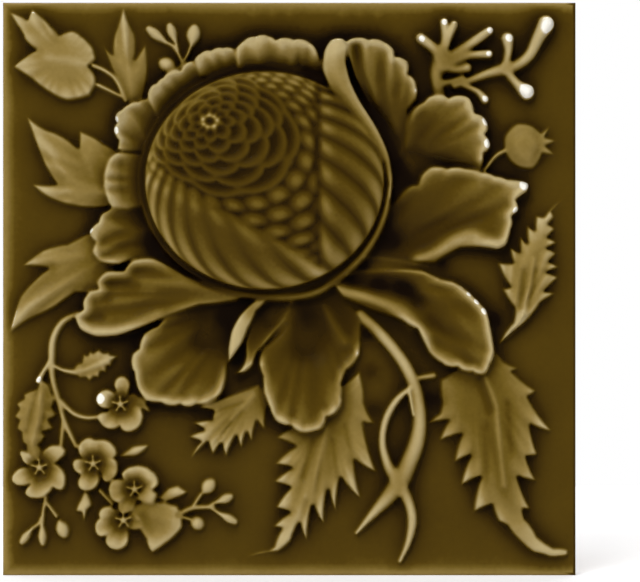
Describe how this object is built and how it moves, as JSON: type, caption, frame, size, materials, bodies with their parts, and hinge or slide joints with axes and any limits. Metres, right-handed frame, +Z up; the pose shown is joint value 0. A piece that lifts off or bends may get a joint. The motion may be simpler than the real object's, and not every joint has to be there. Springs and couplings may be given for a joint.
{
  "type": "relief ceramic tile",
  "caption": "Square glazed wall tile with a large cone-shaped flower, leaves, blossoms and sprigs moulded in high relief under a pooling translucent glaze.",
  "frame": {"origin": "centre of the flat back face, which beds on the wall", "axes": "+Z up the wall, +X to the right of someone facing the relief, +Y into the wall; the relief points to -Y"},
  "size_m": [0.1524, 0.019, 0.1524],
  "materials": {
    "glaze": "glossy translucent brown-olive glaze over buff earthenware"
  },
  "bodies": {
    "root": {"relief_tile": "glaze"}
  },
  "joints": []
}
